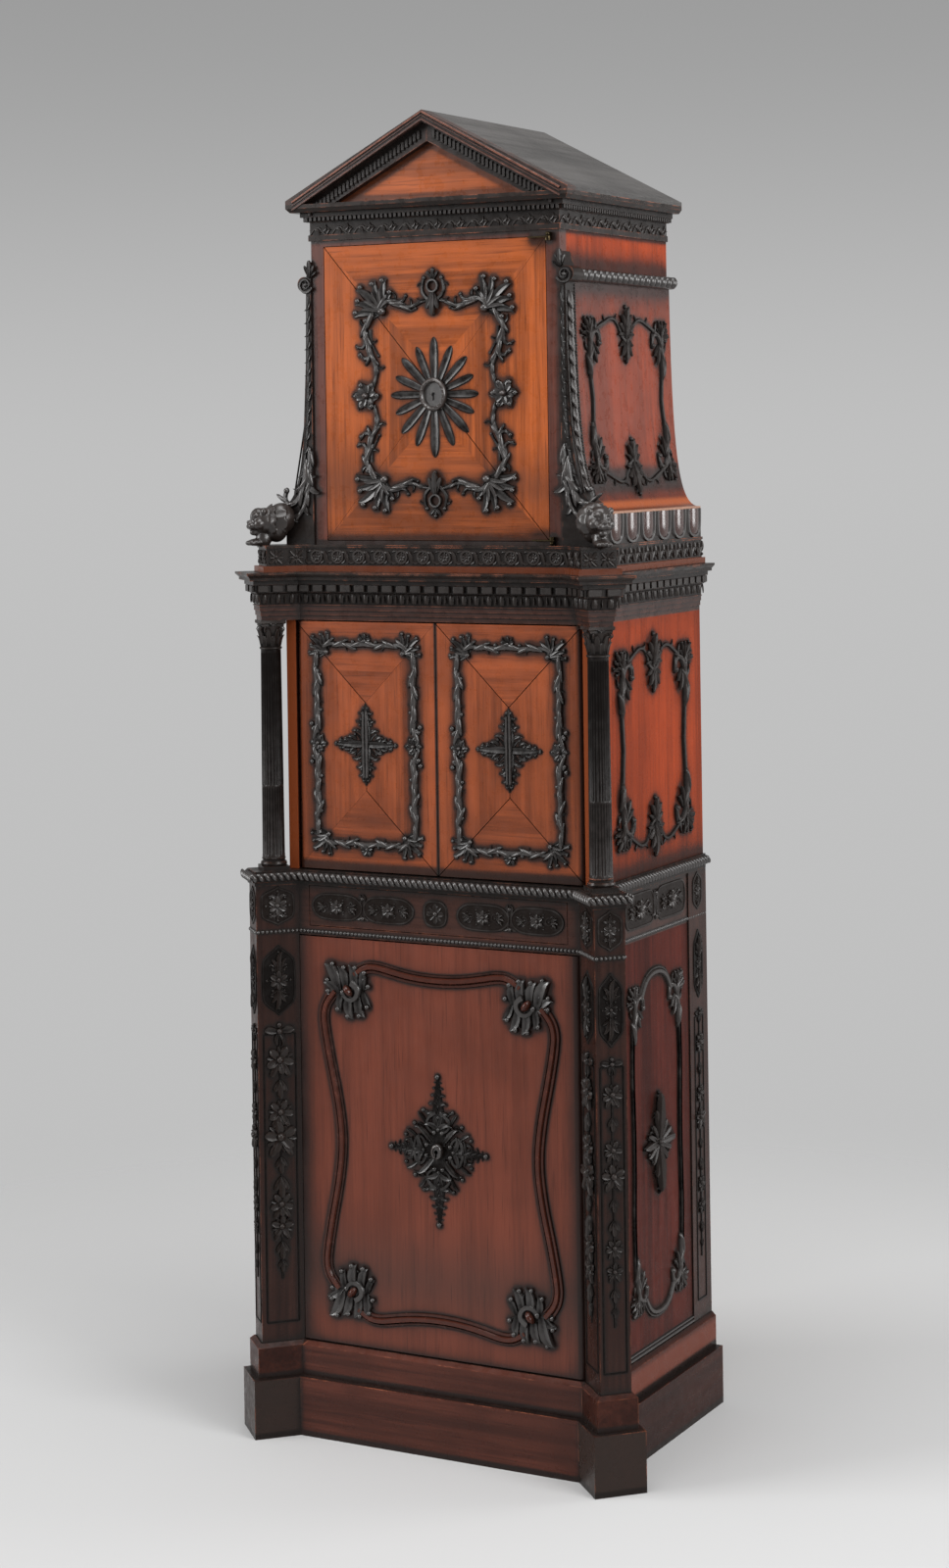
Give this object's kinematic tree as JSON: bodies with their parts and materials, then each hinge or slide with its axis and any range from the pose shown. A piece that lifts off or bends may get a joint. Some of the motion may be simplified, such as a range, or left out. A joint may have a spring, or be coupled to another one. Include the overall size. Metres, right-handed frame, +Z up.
{
  "type": "medal cabinet",
  "caption": "Tall carved mahogany medal cabinet in stacked tiers: a base cupboard with a drawer, a columned middle with paired doors and trays, and a gabled top cupboard with trays.",
  "frame": {"origin": "on the floor under the middle of the cabinet's bounding box", "axes": "+Z up, +X to the right of someone facing the doors, +Y towards the back"},
  "size_m": [0.6862, 0.4622, 2.0074],
  "materials": {
    "panel_mahogany": "polished",
    "dark_mahogany": "polished",
    "inner_wood": "plain",
    "brass": "worn",
    "iron": "dark"
  },
  "bodies": {
    "case": {"base_sides": "panel_mahogany", "frieze_sides": "panel_mahogany", "mid_sides": "panel_mahogany", "top_rails": "panel_mahogany", "tympanum": "panel_mahogany", "side_aprons": "panel_mahogany", "top_sides": "panel_mahogany", "plinth_front": "dark_mahogany", "plinth_corner_blocks": "dark_mahogany", "plinth_sides": "dark_mahogany", "plinth_back": "dark_mahogany", "corner_post_left": "dark_mahogany", "corner_post_right": "dark_mahogany", "rear_posts": "dark_mahogany", "frieze_rail": "dark_mahogany", "waist_board": "dark_mahogany", "column_bases": "dark_mahogany", "column_shafts": "dark_mahogany", "column_capitals": "dark_mahogany", "architrave": "dark_mahogany", "bed_moulding": "dark_mahogany", "mid_cornice": "dark_mahogany", "attic_base": "dark_mahogany", "top_jambs": "dark_mahogany", "consoles": "dark_mahogany", "lion_heads": "dark_mahogany", "top_frieze": "dark_mahogany", "top_cornice": "dark_mahogany", "raking_cornices": "dark_mahogany", "roof_boards": "dark_mahogany", "base_floor": "inner_wood", "base_back": "inner_wood", "base_shelves": "inner_wood", "dust_board": "inner_wood", "drawer_runners": "inner_wood", "mid_back": "inner_wood", "mid_divider": "inner_wood", "mid_trays": "inner_wood", "top_back": "inner_wood", "top_trays": "inner_wood", "rear_gable": "inner_wood", "base_door_pins": "brass", "mid_door_pins": "brass", "top_hinge_pins": "brass"},
    "base_door": {"base_door": "panel_mahogany", "base_lock_case": "iron"},
    "base_bolt": {"base_lock_bolt": "iron"},
    "mid_door_left": {"mid_door_left": "panel_mahogany", "mid_lock_case_left": "iron"},
    "mid_bolt_left": {"mid_lock_bolt_left": "iron"},
    "mid_door_right": {"mid_door_right": "panel_mahogany", "mid_lock_case_right": "iron"},
    "mid_bolt_right": {"mid_lock_bolt_right": "iron"},
    "top_door": {"top_door": "panel_mahogany", "top_hinge_leaves": "brass", "top_lock_case": "iron"},
    "top_bolt": {"top_lock_bolt": "iron"},
    "drawer": {"drawer_front": "panel_mahogany", "drawer_box": "inner_wood"}
  },
  "joints": [
    {"name": "base_door_hinge", "type": "hinge", "parent": "case", "child": "base_door", "pos_m": [0.22777, -0.14993, 0.4515], "axis": [0, 0, 1], "range_deg": [0, 90]},
    {"name": "mid_door_left_hinge", "type": "hinge", "parent": "case", "child": "mid_door_left", "pos_m": [-0.234, -0.13893, 1.0514], "axis": [0, 0, -1], "range_deg": [0, 90]},
    {"name": "mid_door_right_hinge", "type": "hinge", "parent": "case", "child": "mid_door_right", "pos_m": [0.234, -0.13893, 1.0514], "axis": [0, 0, 1], "range_deg": [0, 90]},
    {"name": "top_door_hinge", "type": "hinge", "parent": "case", "child": "top_door", "pos_m": [0.197, -0.14643, 1.5879], "axis": [0, 0, 1], "range_deg": [0, 105]},
    {"name": "drawer_slide", "type": "slide", "parent": "case", "child": "drawer", "axis": [0, -1, 0], "range_m": [0, 0.28]},
    {"name": "base_bolt_slide", "type": "slide", "parent": "base_door", "child": "base_bolt", "axis": [0, 0, 1], "range_m": [0, 0.01]},
    {"name": "mid_bolt_left_slide", "type": "slide", "parent": "mid_door_left", "child": "mid_bolt_left", "axis": [0, 0, 1], "range_m": [0, 0.01]},
    {"name": "mid_bolt_right_slide", "type": "slide", "parent": "mid_door_right", "child": "mid_bolt_right", "axis": [0, 0, 1], "range_m": [0, 0.01]},
    {"name": "top_bolt_slide", "type": "slide", "parent": "top_door", "child": "top_bolt", "axis": [0, 0, 1], "range_m": [0, 0.01]}
  ]
}
